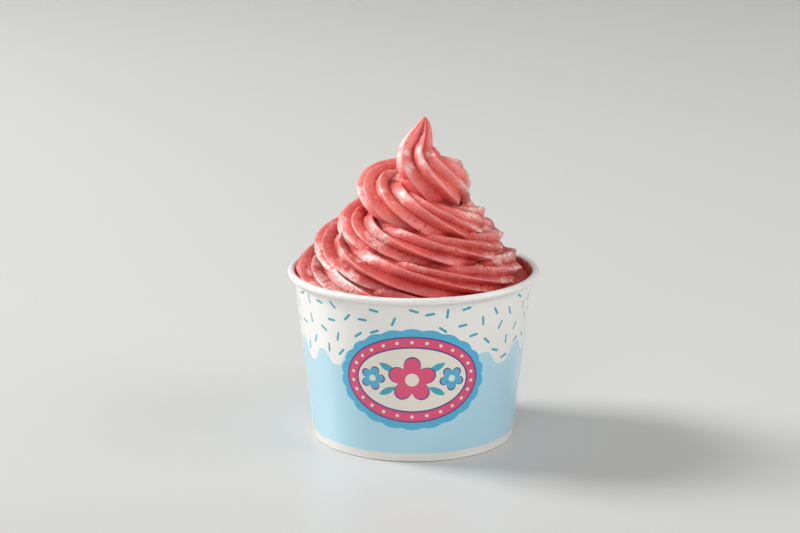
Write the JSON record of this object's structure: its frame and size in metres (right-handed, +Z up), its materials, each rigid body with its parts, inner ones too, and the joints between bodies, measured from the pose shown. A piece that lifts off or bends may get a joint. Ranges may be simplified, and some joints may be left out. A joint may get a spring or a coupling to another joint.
{
  "type": "cup of sorbet",
  "caption": "Paper cup filled with piped sorbet, whose fluted rope coils up in a swirl from the rolled rim to a pointed tip.",
  "frame": {"origin": "centre of the cup's base, on the surface it stands on", "axes": "+Z up through the swirl's tip, -Y towards the side that the picture shows, +X to the right of the picture"},
  "size_m": [0.112, 0.112, 0.1442],
  "materials": {
    "cup_paper": "satin",
    "cup_bottom_board": "matte",
    "sorbet": "satin"
  },
  "bodies": {
    "root": {"cup_wall": "cup_paper", "cup_bottom": "cup_bottom_board", "sorbet": "sorbet"}
  },
  "joints": []
}
